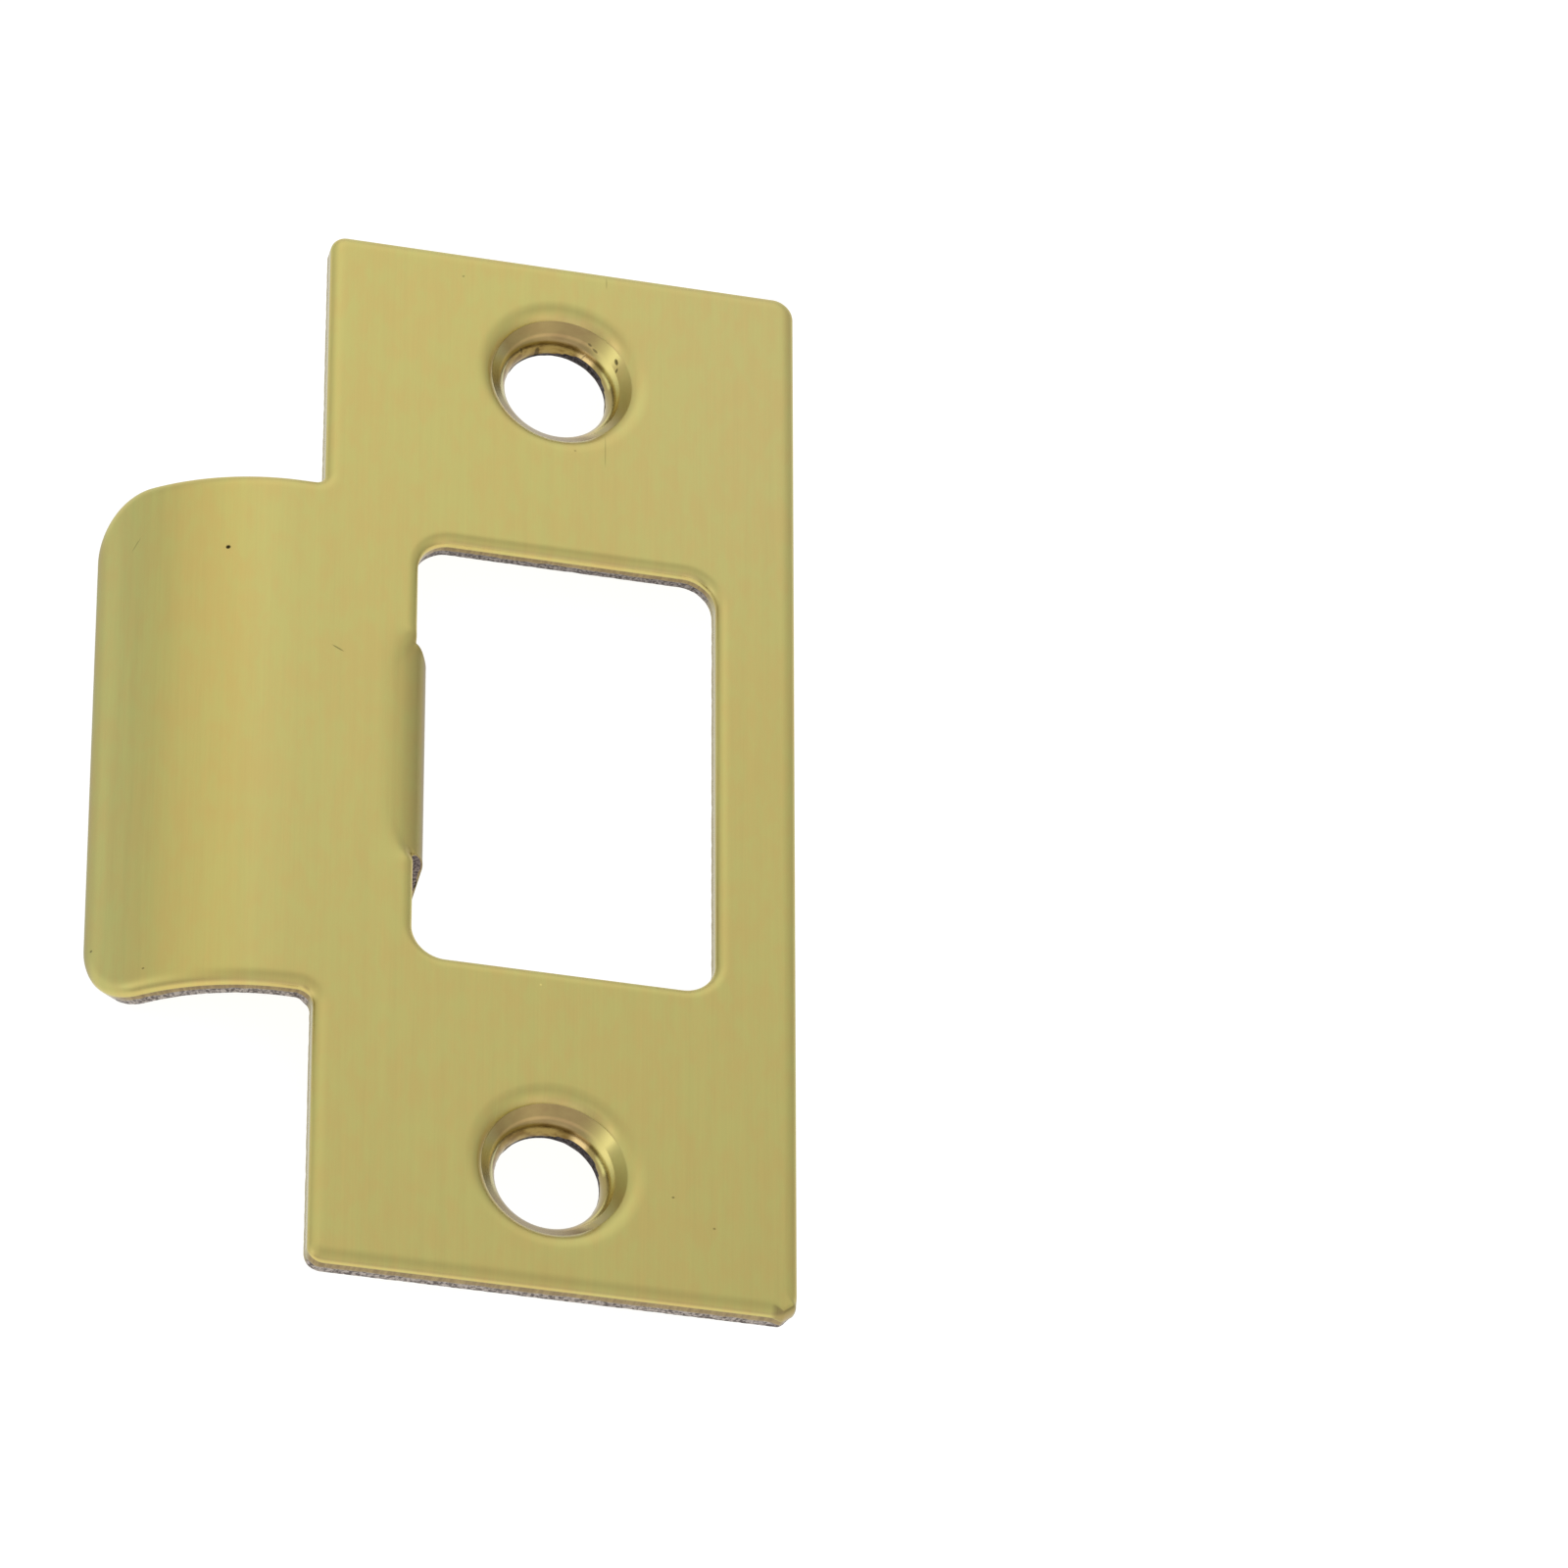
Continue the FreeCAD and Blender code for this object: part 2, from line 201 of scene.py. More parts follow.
def ripple(points, scale, seed):
    """Smooth noise from -1 to 1 at points in millimetres."""
    shift = Vector((seed * 17.31, seed * 5.77, seed * 9.13))
    return np.array([noise.noise(Vector(p) / scale + shift) for p in points])


# ------------------------------------------------------------------ mesh parts
class Build:
    def __init__(self):
        self.co, self.blank, self.zone, self.round = [], [], [], []
        self.faces, self.part = [], []
        self.count = 0

    def add(self, co, blank, zone, turned=None):
        """Vertices: place, place on the blank (s, y, depth), zone (coined,
        sheared, torn), and the direction from the hollow or the open side into
        the sheet, with 1 after it in a screw hole. Returns their numbers."""
        self.co.append(np.asarray(co, float))
        self.blank.append(np.asarray(blank, float))
        self.zone.append(np.asarray(zone, float))
        n = len(co)
        self.round.append(np.zeros((n, 3)) if turned is None else turned)
        self.count += n
        return np.arange(self.count - n, self.count)

    def quads(self, upper, lower, part):
        """A closed strip between two rings, the material on the left."""
        a, b = upper, lower
        a2, b2 = np.roll(a, -1), np.roll(b, -1)
        self.faces.append(np.stack([b, b2, a2, a], 1))
        self.part.append(np.full(len(a), part))

    def tris(self, tri, part):
        tri = np.asarray(tri)
        self.faces.append(np.column_stack([tri, np.full(len(tri), -1)]))
        self.part.append(np.full(len(tri), part))


def rounded_path(corners, step):
    """A closed path through (s, y, radius) corners, with the material on its
    left. Gives its points and the directions into the material."""
    pts, nrm = [], []
    n = len(corners)
    arcs = []
    for i in range(n):
        a, b, c = (np.array(corners[j % n][:2], float) for j in (i - 1, i, i + 1))
        u, v = (b - a) / np.linalg.norm(b - a), (c - b) / np.linalg.norm(c - b)
        turn = math.atan2(u[0] * v[1] - u[1] * v[0], u @ v)
        r = corners[i][2]
        arcs.append((b - u * r * math.tan(abs(turn) / 2), u, turn, r))
    for i in range(n):
        start, u, turn, r = arcs[i]
        left = np.array([-u[1], u[0]])
        sign = 1 if turn > 0 else -1
        centre = start + left * r * sign
        m = max(7, math.ceil(abs(turn) * (r + 0.5) / step))
        for j in range(m + 1):
            a = turn * j / m
            c, s = math.cos(a), math.sin(a)
            nl = np.array([left[0] * c - left[1] * s, left[0] * s + left[1] * c])
            pts.append(centre - nl * r * sign)
            nrm.append(nl)
        end, after = pts[-1], arcs[(i + 1) % n][0]
        length = np.linalg.norm(after - end)
        k = max(1, math.ceil(length / step))
        for j in range(1, k):
            pts.append(end + (after - end) * j / k)
            nrm.append(nl)
    return np.array(pts), np.array(nrm)


def blurred(values, steps):
    """values round a closed path, smoothed over that many steps each way."""
    k = np.hanning(2 * steps + 3)[1:-1]
    k /= k.sum()
    padded = np.concatenate([values[-steps:], values, values[:steps]])
    return np.convolve(padded, k, "valid")


def edge_rings(build, pts, nrm, wide, deep, torn_from, seed, ragged, burr=0.0):
    """The die roll, the cut wall and the back edge along a path. wide and deep
    are the roll's size and torn_from the depth where the clean cut ends, each
    a number per point; burr is how far the torn wall curls out. Returns the
    first front ring and the last back ring."""
    n = len(pts)
    rings = []
    inward = np.column_stack([nrm, np.zeros(n)])

    def ring(inset, depth, zone):
        depth = np.broadcast_to(depth, n)
        curl = smoothstep(depth, 1.0, 1.35) * (1 - 0.45 * smoothstep(depth, 1.4, T))
        inset = np.broadcast_to(inset, n) - burr * curl
        at = pts + nrm * inset[:, None]
        co = place(at[:, 0], at[:, 1], depth)
        z = np.zeros((n, 3)) + np.asarray(zone, float).reshape(-1, 3)
        rings.append(build.add(co, np.column_stack([at, depth]), z, inward))

    along = np.concatenate([[0], np.cumsum(np.linalg.norm(np.diff(pts, axis=0), axis=1))])
    ring(wide + 0.1, 0, (0, 0, 0))
    for k in range(11):
        a = math.pi / 2 * k / 10
        ring(wide * (1 - math.sin(a)), deep * (1 - math.cos(a)),
             (0.25 * smoothstep(a, 0.1, 0.5), 0, 0))
    # The clean cut: burnished by the punch.
    for t, cut in ((0.06, 0.15), (0.16, 0.8), (0.35, 1), (0.7, 1)):
        ring(0, deep + (torn_from - deep) * t, (0, cut, 0))
    wave = ripple(np.column_stack([along, np.zeros(n), np.zeros(n)]), 0.9, seed)
    fine = ripple(np.column_stack([along, np.zeros(n), np.zeros(n)]), 0.25, seed + 1)
    line = np.clip(torn_from + 0.09 * wave + 0.05 * fine, deep + 0.03, T - 0.1)
    ring(0, line - 0.015, (0, 1, 0))
    ring(0.012, line + 0.02, (0, 1, 1))
    # The torn part falls back a little and is rough.
    for t in (0.25, 0.5, 0.75):
        rough = ripple(np.column_stack([along, np.full(n, 7 * t), np.zeros(n)]), 0.22, seed + 2)
        ring(0.015 + 0.01 * t + ragged * 0.5 * np.maximum(rough + 0.2, -0.1),
             line + (T - 0.04 - line) * t, (0, 1, 1))
    rough = ripple(np.column_stack([along, np.full(n, 9), np.zeros(n)]), 0.35, seed + 3)
    foot = 0.02 + ragged * 0.7 * np.maximum(rough + 0.2, 0)
    ring(foot, T - 0.03, (0, 1, 1))
    ring(foot + 0.03, T, (0, 0.6, 0.6))
    ring(foot + 0.25, T, (0, 0, 0))
    for upper, lower in zip(rings, rings[1:]):
        build.quads(upper, lower, 1)
    return rings[0], rings[-1]


def inside(points, loop):
    x, y = points[:, 0], points[:, 1]
    odd = np.zeros(len(points), bool)
    for (ax, ay), (bx, by) in zip(loop, np.roll(loop, -1, axis=0)):
        if ay == by:
            continue
        cross = (ay > y) != (by > y)
        odd ^= cross & (x < (bx - ax) * (y - ay) / (by - ay) + ax)
    return odd


def fill(build, outer, holes, grids, depth, part):
    """Triangles between the outer ring and the rings of the holes. grids are
    (points, least distance to a ring)."""
    blank = np.concatenate(build.blank)
    rings = [outer] + holes
    edge = np.concatenate([blank[r][:, :2] for r in rings])
    numbers = np.concatenate(rings)
    links, base = [], 0
    for r in rings:
        links += [(base + j, base + (j + 1) % len(r)) for j in range(len(r))]
        base += len(r)
    loops = [blank[r][:, :2] for r in rings]
    kept = []
    for grid, gap in grids:
        ok = inside(grid, loops[0])
        for loop in loops[1:]:
            ok &= ~inside(grid, loop)
        grid = grid[ok]
        near = np.array([((edge - p) ** 2).sum(1).min() for p in grid])
        kept.append(grid[near > gap * gap])
    grid = np.concatenate(kept)
    co = place(grid[:, 0], grid[:, 1], depth)
    added = build.add(co, np.column_stack([grid, np.full(len(grid), depth)]),
                      np.zeros((len(grid), 3)))
    numbers = np.concatenate([numbers, added])
    flat = [Vector(p) for p in np.concatenate([edge, grid])]
    out, _, faces, origin, _, _ = delaunay_2d_cdt(flat, links, [], 0, 1e-7, True)
    if len(out) != len(flat):
        raise RuntimeError("the blank's rings cross: %d and %d" % (len(out), len(flat)))
    first = np.array([o[0] for o in origin])
    tri = first[np.array([f for f in faces])]
    xy = np.array([p[:] for p in flat])
    mid = xy[tri].mean(1)
    ok = inside(mid, loops[0])
    for loop in loops[1:]:
        ok &= ~inside(mid, loop)
    tri = tri[ok]
    a, b, c = (xy[tri[:, k]] for k in range(3))
    turn = (b - a)[:, 0] * (c - a)[:, 1] - (b - a)[:, 1] * (c - a)[:, 0]
    tri[turn < 0] = tri[turn < 0][:, ::-1]
    tri = numbers[tri]
    if depth > 0:
        tri = tri[:, ::-1]
    build.tris(tri, part)


def lattice(s0, s1, y0, y1, ds, dy):
    s = np.linspace(s0, s1, max(2, round((s1 - s0) / ds) + 1))
    y = np.linspace(y0, y1, max(2, round((y1 - y0) / dy) + 1))
    return np.array(np.meshgrid(s, y)).reshape(2, -1).T


# --------------------------------------------------------------- the dimples
DISH_R, CREASE_R, CREASE_D = 5.45, 4.29, 0.56
CONE_R, CONE_D = 3.68, 1.12
CORE_R, RIM_D = 3.13, 2.7


def dished(slopes, radii):
    """Depths at the radii of a surface with the given (radius, slope)."""
    run, tilt = np.array(slopes, float).T
    tilt = np.interp(-radii, -run, tilt)
    down = np.tan(np.radians((tilt[1:] + tilt[:-1]) / 2)) * (radii[:-1] - radii[1:])
    return np.concatenate([[0], np.cumsum(down)])


def dimple_profile():
    """(radius, depth, depth on the right side, zone, raggedness) from the flat
    face, down the countersink, round the rim and back up to the flat back."""
    rows = [(5.9, 0.0, 0.0, (0, 0, 0), 0)]
    # The dish: the sheet dips, ever more steeply, to the crease. On the right
    # it runs on into the cone without one.
    at = np.linspace(DISH_R, CREASE_R, 19)
    steep = dished([(5.45, 0), (5.2, 8), (4.95, 18), (4.72, 34), (4.5, 52), (4.29, 60)], at)
    steep *= CREASE_D / steep[-1]
    eased = dished([(5.45, 0), (5.2, 5), (4.95, 12), (4.65, 24), (4.29, 36)], at)

    def gentle(r):
        """Depth on the right: an easier dish that meets the cone's foot."""
        if r >= CREASE_R:
            return float(np.interp(-r, -at, eased))
        t = (CREASE_R - r) / (CREASE_R - CONE_R)
        return float(eased[-1]) + (CONE_D - float(eased[-1])) * t

    for r, d in zip(at, steep):
        zone = (0.25 * float(smoothstep(d, 0.02, 0.1)), 0, 0)
        rows.append((float(r), float(d), gentle(r), zone, 0))
    # A fine step where the punch's cone starts.
    for r, d, c in ((CREASE_R - 0.012, 0.025, 0.5), (CREASE_R - 0.05, 0.06, 1)):
        rows.append((r, CREASE_D + d, gentle(r), (c, 0, 0), 0))
    # The cone, then its roll into the short straight land.
    r0, d0 = CREASE_R - 0.05, CREASE_D + 0.06
    slope = math.atan2(CONE_D - d0, r0 - CONE_R)
    for j in range(1, 9):
        t = j / 8
        r = r0 + (CONE_R - r0) * t
        rows.append((r, d0 + (CONE_D - d0) * t, gentle(r), (1, 0, 0), 0))
    rho = (CONE_R - CORE_R) / (1 - math.sin(slope))
    cr, cd = CONE_R + rho * math.sin(slope), CONE_D + rho * math.cos(slope)
    for j in range(1, 11):
        p = slope + (math.pi / 2 - slope) * j / 10
        r = cr - rho * math.sin(p)
        d = cd - rho * math.cos(p)
        rows.append((r, d, d,
                     (1, float(smoothstep(j, 1.5, 4.5)), 0), 0))
    land = rows[-1][1]
    tail = [
        (CORE_R, land + 0.02, (1, 1, 0.1), 0.7),
        (CORE_R - 0.01, land + 0.06, (0.4, 1, 0.9), 0.9),
        (CORE_R + 0.01, land + 0.15, (0, 1, 1), 0.8),
        (CORE_R, RIM_D - 0.12, (0, 1, 1), 1),
        (CORE_R + 0.03, RIM_D - 0.04, (0, 1, 1), 1),
        (CORE_R + 0.09, RIM_D, (0, 1, 1), 1),
        (CORE_R + 0.45, RIM_D, (0, 0.8, 0.8), 0.5),
        (4.0, RIM_D - 0.02, (0, 0.5, 0.3), 0.1),
        (4.17, RIM_D - 0.05, (0, 0, 0), 0),
        (4.28, RIM_D - 0.15, (0, 0, 0), 0),
    ]
    for j in range(1, 7):
        t = j / 6
        tail.append((4.28 + (5.2 - 4.28) * t,
                     RIM_D - 0.15 - (RIM_D - 0.15 - 1.86) * t, (0, 0, 0), 0))
    tail += [(5.45, 1.73, (0, 0, 0), 0), (5.75, 1.64, (0, 0, 0), 0),
             (6.1, T, (0, 0, 0), 0), (6.3, T, (0, 0, 0), 0)]
    rows += [(r, d, d, zone, rough) for r, d, zone, rough in tail]
    return rows


def dimple(build, y0, seed):
    n = 180
    angle = np.arange(n) * 2 * math.pi / n
    turn = np.column_stack([np.cos(angle), np.sin(angle)])
    # The lower right side has no dish and no crease.
    right = smoothstep(np.cos(angle + math.radians(12)), 0.5, 0.88)
    # The cut is torn highest on the upper right side.
    high = smoothstep(np.cos(angle - math.radians(48)), 0.72, 0.97)
    turned = np.column_stack([turn, np.ones(n)])
    rag = ripple(np.column_stack([turn * 3.1, np.zeros(n)]), 0.5, seed)
    rag2 = ripple(np.column_stack([turn * 3.1, np.zeros(n)]), 0.2, seed + 1)
    rings = []
    for r, d, d_right, zone, rough in dimple_profile():
        rr = r + rough * (0.035 * np.maximum(rag, -0.4) + 0.02 * rag2)
        dd = d + (d_right - d) * right + rough * (0.09 * rag + 0.03 * rag2)
        at = turn * rr[:, None] + (0, y0)
        co = np.column_stack([at, T - dd])
        z = np.tile(np.array(zone, float), (n, 1))
        if r > CONE_R:
            z[:, 0] *= 1 - 0.8 * right
        if r < 3.3:
            z[:, 2] = np.maximum(z[:, 2], smoothstep(dd, 2.33 - 0.3 * high, 2.38 - 0.3 * high))
        rings.append(build.add(co, np.column_stack([at, dd]), z, turned))
    for outer, inner in zip(rings, rings[1:]):
        # Seen from the front, the material is outside the ring, so the ring is
        # run through clockwise.
        build.quads(outer[::-1], inner[::-1], 3)
    return rings[0][::-1], rings[-1][::-1]


# ------------------------------------------------------------------ the plate
STEP = 0.2
plate = Build()

outer_pts, outer_nrm = rounded_path(
    [
        (HALF_W - 0.80, -HALF_H, 0.5),
        (HALF_W, -HALF_H + 0.58, 0.5),
        (HALF_W, HALF_H, 1.3),
        (-HALF_W, HALF_H, 0.98),
        (-HALF_W, HALF_LIP, 0.6),
        (LIP_END, HALF_LIP, 4.08),
        (LIP_END, -HALF_LIP, 4.08),
        (-HALF_W, -HALF_LIP, 0.95),
        (-HALF_W, -HALF_H, 0.98),
    ],
    STEP,
)
# A burr curls out of the torn wall in the lower corner beside the lip.
away = np.hypot(outer_pts[:, 0] + HALF_W + 0.15, outer_pts[:, 1] + HALF_LIP + 0.1)
outer_burr = 0.14 * (1 - smoothstep(away, 0.1, 0.5))
# The lower right corner is cut off straight: the face bends far down there,
# and the torn wall falls back.
away = np.hypot(outer_pts[:, 0] - HALF_W + 0.3, outer_pts[:, 1] + HALF_H - 0.25)
corner = 1 - smoothstep(away, 0.5, 1.25)
end = np.hypot(outer_pts[:, 0] - HALF_W, outer_pts[:, 1] + HALF_H - 0.55)
outer_burr = outer_burr - 0.2 * (1 - smoothstep(end, 0.15, 0.8))
# The roll is a little deeper along the lip's lower edge than the plate's.
lower_lip = (outer_pts[:, 1] < -HALF_LIP + 3) & (outer_pts[:, 0] < -HALF_W - 0.3)
lower_end = outer_pts[:, 1] < -HALF_H + 0.3
outer_deep = ROLL[1] + 0.07 * lower_lip - 0.05 * lower_end
outer_deep = blurred(outer_deep, 4) + 0.36 * corner
outer_front, outer_back = edge_rings(
    plate, outer_pts, outer_nrm, ROLL[0] - 0.46 * corner,
    outer_deep, 1.03 + 0.3 * corner, 1, 0.04, outer_burr,
)

open_pts, open_nrm = rounded_path(
    [
        (OPEN_L, -OPEN_H, 2.0),
        (OPEN_L, -TAB_Y, 0.2),
        (TAB_TIP, -TAB_Y, 0.5),
        (TAB_TIP, TAB_Y - 0.80, 0.5),
        (OPEN_L + 1.15, TAB_Y - 0.80, 0.3),
        (OPEN_L, TAB_Y - 0.08, 0.15),
        (OPEN_L, OPEN_H, 2.0),
        (OPEN_R, OPEN_H, 2.0),
        (OPEN_R, -OPEN_H, 2.0),
    ],
    STEP,
)
on_tab = ((open_pts[:, 0] > OPEN_L + 0.15) & (open_pts[:, 0] < TAB_TIP + 0.1)
          & (np.abs(open_pts[:, 1]) < TAB_Y + 0.1)).astype(float)
on_tab = blurred(on_tab, 3)
# The roll dies out towards the tab's ends, and is deepest along the top.
beside = np.where(open_pts[:, 1] > 0, open_pts[:, 1] + 0.25, -open_pts[:, 1]) - TAB_Y
beside = (1 - smoothstep(beside, 0.0, 1.5)) * (open_pts[:, 0] < 0) * 0.2
beside = np.maximum(beside, on_tab)
top_side = smoothstep(open_pts[:, 1], OPEN_H - 1.5, OPEN_H - 0.3)
open_front, open_back = edge_rings(
    plate, open_pts, open_nrm,
    OPEN_ROLL[0] + (TAB_ROLL[0] - OPEN_ROLL[0]) * beside,
    OPEN_ROLL[1] + (TAB_ROLL[1] - OPEN_ROLL[1]) * beside + 0.1 * top_side,
    1.05 + (0.15 - 1.05) * on_tab, 11, 0.045,
)

holes = [dimple(plate, HOLE_Y, 31), dimple(plate, -HOLE_Y, 41)]

fine_zone = (TAB_S0 - 0.7, TAB_TIP + 0.1, 9.6)
coarse = lattice(LIP_END, HALF_W, -HALF_H, HALF_H, 0.55, 0.62)
in_fine = ((coarse[:, 0] > fine_zone[0]) & (coarse[:, 0] < fine_zone[1])
           & (np.abs(coarse[:, 1]) < fine_zone[2]))
fine = lattice(fine_zone[0], fine_zone[1], -fine_zone[2] + 0.2, fine_zone[2] - 0.2, 0.2, 0.3)
fill(plate, outer_front, [open_front] + [h[0] for h in holes],
     [(coarse[~in_fine], 0.3), (fine, 0.13)], 0.0, 0)
coarse = lattice(LIP_END, HALF_W, -HALF_H, HALF_H, 0.75, 1.1)
in_fine = ((coarse[:, 0] > fine_zone[0]) & (coarse[:, 0] < fine_zone[1])
           & (np.abs(coarse[:, 1]) < fine_zone[2]))
fine = lattice(fine_zone[0], fine_zone[1], -fine_zone[2] + 0.2, fine_zone[2] - 0.2, 0.25, 0.35)
fill(plate, outer_back, [open_back] + [h[1] for h in holes],
     [(coarse[~in_fine], 0.4), (fine, 0.14)], T, 2)


def make_mesh(build, name):
    co = np.concatenate(build.co) * 0.001
    blank = np.concatenate(build.blank)
    zone = np.concatenate(build.zone)
    turned = np.concatenate(build.round)
    faces = np.concatenate([f if f.shape[1] == 4 else f for f in build.faces])
    part = np.concatenate(build.part)
    sizes = np.where(faces[:, 3] < 0, 3, 4)
    corners = faces[faces >= 0]
    me = bpy.data.meshes.new(name)
    me.vertices.add(len(co))
    me.vertices.foreach_set("co", co.astype(np.float32).ravel())
    me.loops.add(len(corners))
    me.loops.foreach_set("vertex_index", corners.astype(np.int32))
    me.polygons.add(len(faces))
    starts = np.concatenate([[0], np.cumsum(sizes)[:-1]])
    me.polygons.foreach_set("loop_start", starts.astype(np.int32))
    me.polygons.foreach_set("loop_total", sizes.astype(np.int32))
    me.update(calc_edges=True)
    me.validate()
    me.polygons.foreach_set("use_smooth", np.ones(len(me.polygons), bool))
    for label, data in (("blank", blank), ("zone", zone), ("round", turned)):
        made = me.attributes.new(label, "FLOAT_VECTOR", "POINT")
        made.data.foreach_set("vector", data.astype(np.float32).ravel())
    me.set_sharp_from_angle(angle=math.radians(52))
    me.update()
    return me, part


mesh, parts = make_mesh(plate, "strike_plate_brass")
print("mesh:", len(mesh.vertices), "vertices", len(mesh.polygons), "faces")
strike = bpy.data.objects.new("strike_plate_brass", mesh)
bpy.context.scene.collection.objects.link(strike)


# ----------------------------------------------------------- node expressions
class Value:
    """A socket or a number, so that a material can be written as sums."""

    tree = None

    def __init__(self, item):
        self.item = item

    @classmethod
    def node(cls, kind, **settings):
        made = cls.tree.nodes.new(kind)
        for key, value in settings.items():
            setattr(made, key, value)
        return made

    @classmethod
    def feed(cls, socket, item):
        if isinstance(item, Value):
            item = item.item
        if isinstance(item, bpy.types.NodeSocket):
            cls.tree.links.new(item, socket)
        else:
            socket.default_value = item

    def math(self, operation, *others):
        made = self.node("ShaderNodeMath", operation=operation)
        for socket, item in zip(made.inputs, (self,) + others):
            self.feed(socket, item)
        return Value(made.outputs[0])

    def __add__(self, o):
        return self.math("ADD", o)

    def __radd__(self, o):
        return self.math("ADD", o)

    def __sub__(self, o):
        return self.math("SUBTRACT", o)

    def __rsub__(self, o):
        return Value(o).math("SUBTRACT", self)

    def __mul__(self, o):
        return self.math("MULTIPLY", o)

    def __rmul__(self, o):
        return self.math("MULTIPLY", o)

    def __truediv__(self, o):
        return self.math("DIVIDE", o)

    def clip(self):
        made = self.node("ShaderNodeClamp")
        self.feed(made.inputs["Value"], self)
        return Value(made.outputs[0])

    def step(self, low, high, to_low=0.0, to_high=1.0):
        """A smooth step from to_low at low to to_high at high."""
        made = self.node("ShaderNodeMapRange", interpolation_type="SMOOTHSTEP")
        self.feed(made.inputs["Value"], self)
        self.feed(made.inputs["From Min"], low)
        self.feed(made.inputs["From Max"], high)
        self.feed(made.inputs["To Min"], to_low)
        self.feed(made.inputs["To Max"], to_high)
        return Value(made.outputs[0])


def vector(x, y, z):
    made = Value.node("ShaderNodeCombineXYZ")
    for socket, item in zip(made.inputs, (x, y, z)):
        Value.feed(socket, item)
    return Value(made.outputs[0])


def parts_of(v):
    made = Value.node("ShaderNodeSeparateXYZ")
    Value.feed(made.inputs[0], v)
    return [Value(o) for o in made.outputs]


def grain(where, scale=1.0, detail=2.0, rough=0.5, distortion=0.0):
    made = Value.node("ShaderNodeTexNoise", noise_dimensions="3D")
    Value.feed(made.inputs["Vector"], where)
    made.inputs["Scale"].default_value = scale
    made.inputs["Detail"].default_value = detail
    made.inputs["Roughness"].default_value = rough
    made.inputs["Distortion"].default_value = distortion
    return Value(made.outputs["Fac"])


def blend(fac, a, b):
    """Colour a where fac is 0, b where it is 1."""
    made = Value.node("ShaderNodeMix", data_type="RGBA")
    Value.feed(made.inputs[0], fac)
    for socket, item in ((made.inputs[6], a), (made.inputs[7], b)):
        if isinstance(item, tuple):
            item = item + (1.0,) if len(item) == 3 else item
        Value.feed(socket, item)
    return Value(made.outputs[2])


def shade(colour, amount):
    """colour times a number."""
    made = Value.node("ShaderNodeVectorMath", operation="SCALE")
    Value.feed(made.inputs[0], colour)
    Value.feed(made.inputs["Scale"], amount)
    return Value(made.outputs[0])


def tint(colour, by, amount):
    """colour, multiplied by another where amount is 1."""
    made = Value.node("ShaderNodeMix", data_type="RGBA", blend_type="MULTIPLY")
    Value.feed(made.inputs[0], amount)
    Value.feed(made.inputs[6], colour)
    made.inputs[7].default_value = by + (1.0,)
    return Value(made.outputs[2])


# ------------------------------------------------------------------ materials
# Marks on the face: s, y, half length, half width, angle, how dark.
MARKS = [
    (-20.03, 12.10, 0.15, 0.13, 20, 0.95),
    (-13.38, 5.70, 0.40, 0.05, -27, 0.42),
    (-25.83, 13.27, 0.50, 0.05, 54, 0.28),
    (-24.40, -15.93, 0.09, 0.07, 0, 0.5),
    (-28.07, -13.72, 0.10, 0.08, 0, 0.55),
    (-6.23, 33.13, 0.09, 0.07, 30, 0.3),
    (0.75, 21.78, 0.08, 0.07, 0, 0.3),
    (6.89, -28.19, 0.09, 0.07, 0, 0.45),
    (9.32, -29.90, 0.09, 0.07, 0, 0.45),
    (-1.01, -15.27, 0.07, 0.07, 0, -0.35),
    (2.60, 34.10, 0.45, 0.04, 90, 0.22),
    (2.60, 22.00, 1.15, 0.04, 90, 0.22),
    (1.85, 30.22, 0.16, 0.05, -35, 0.50),
    (2.20, 29.89, 0.22, 0.05, -40, 0.50),
    (1.62, 29.79, 0.10, 0.05, 20, 0.40),
    (3.41, 29.05, 0.20, 0.07, -70, 0.75),
    (3.47, 28.56, 0.12, 0.06, -100, 0.55),
    (-1.18, 29.91, 0.16, 0.10, 20, 0.50),
    (-2.28, 29.45, 0.10, 0.08, 0, 0.45),
]


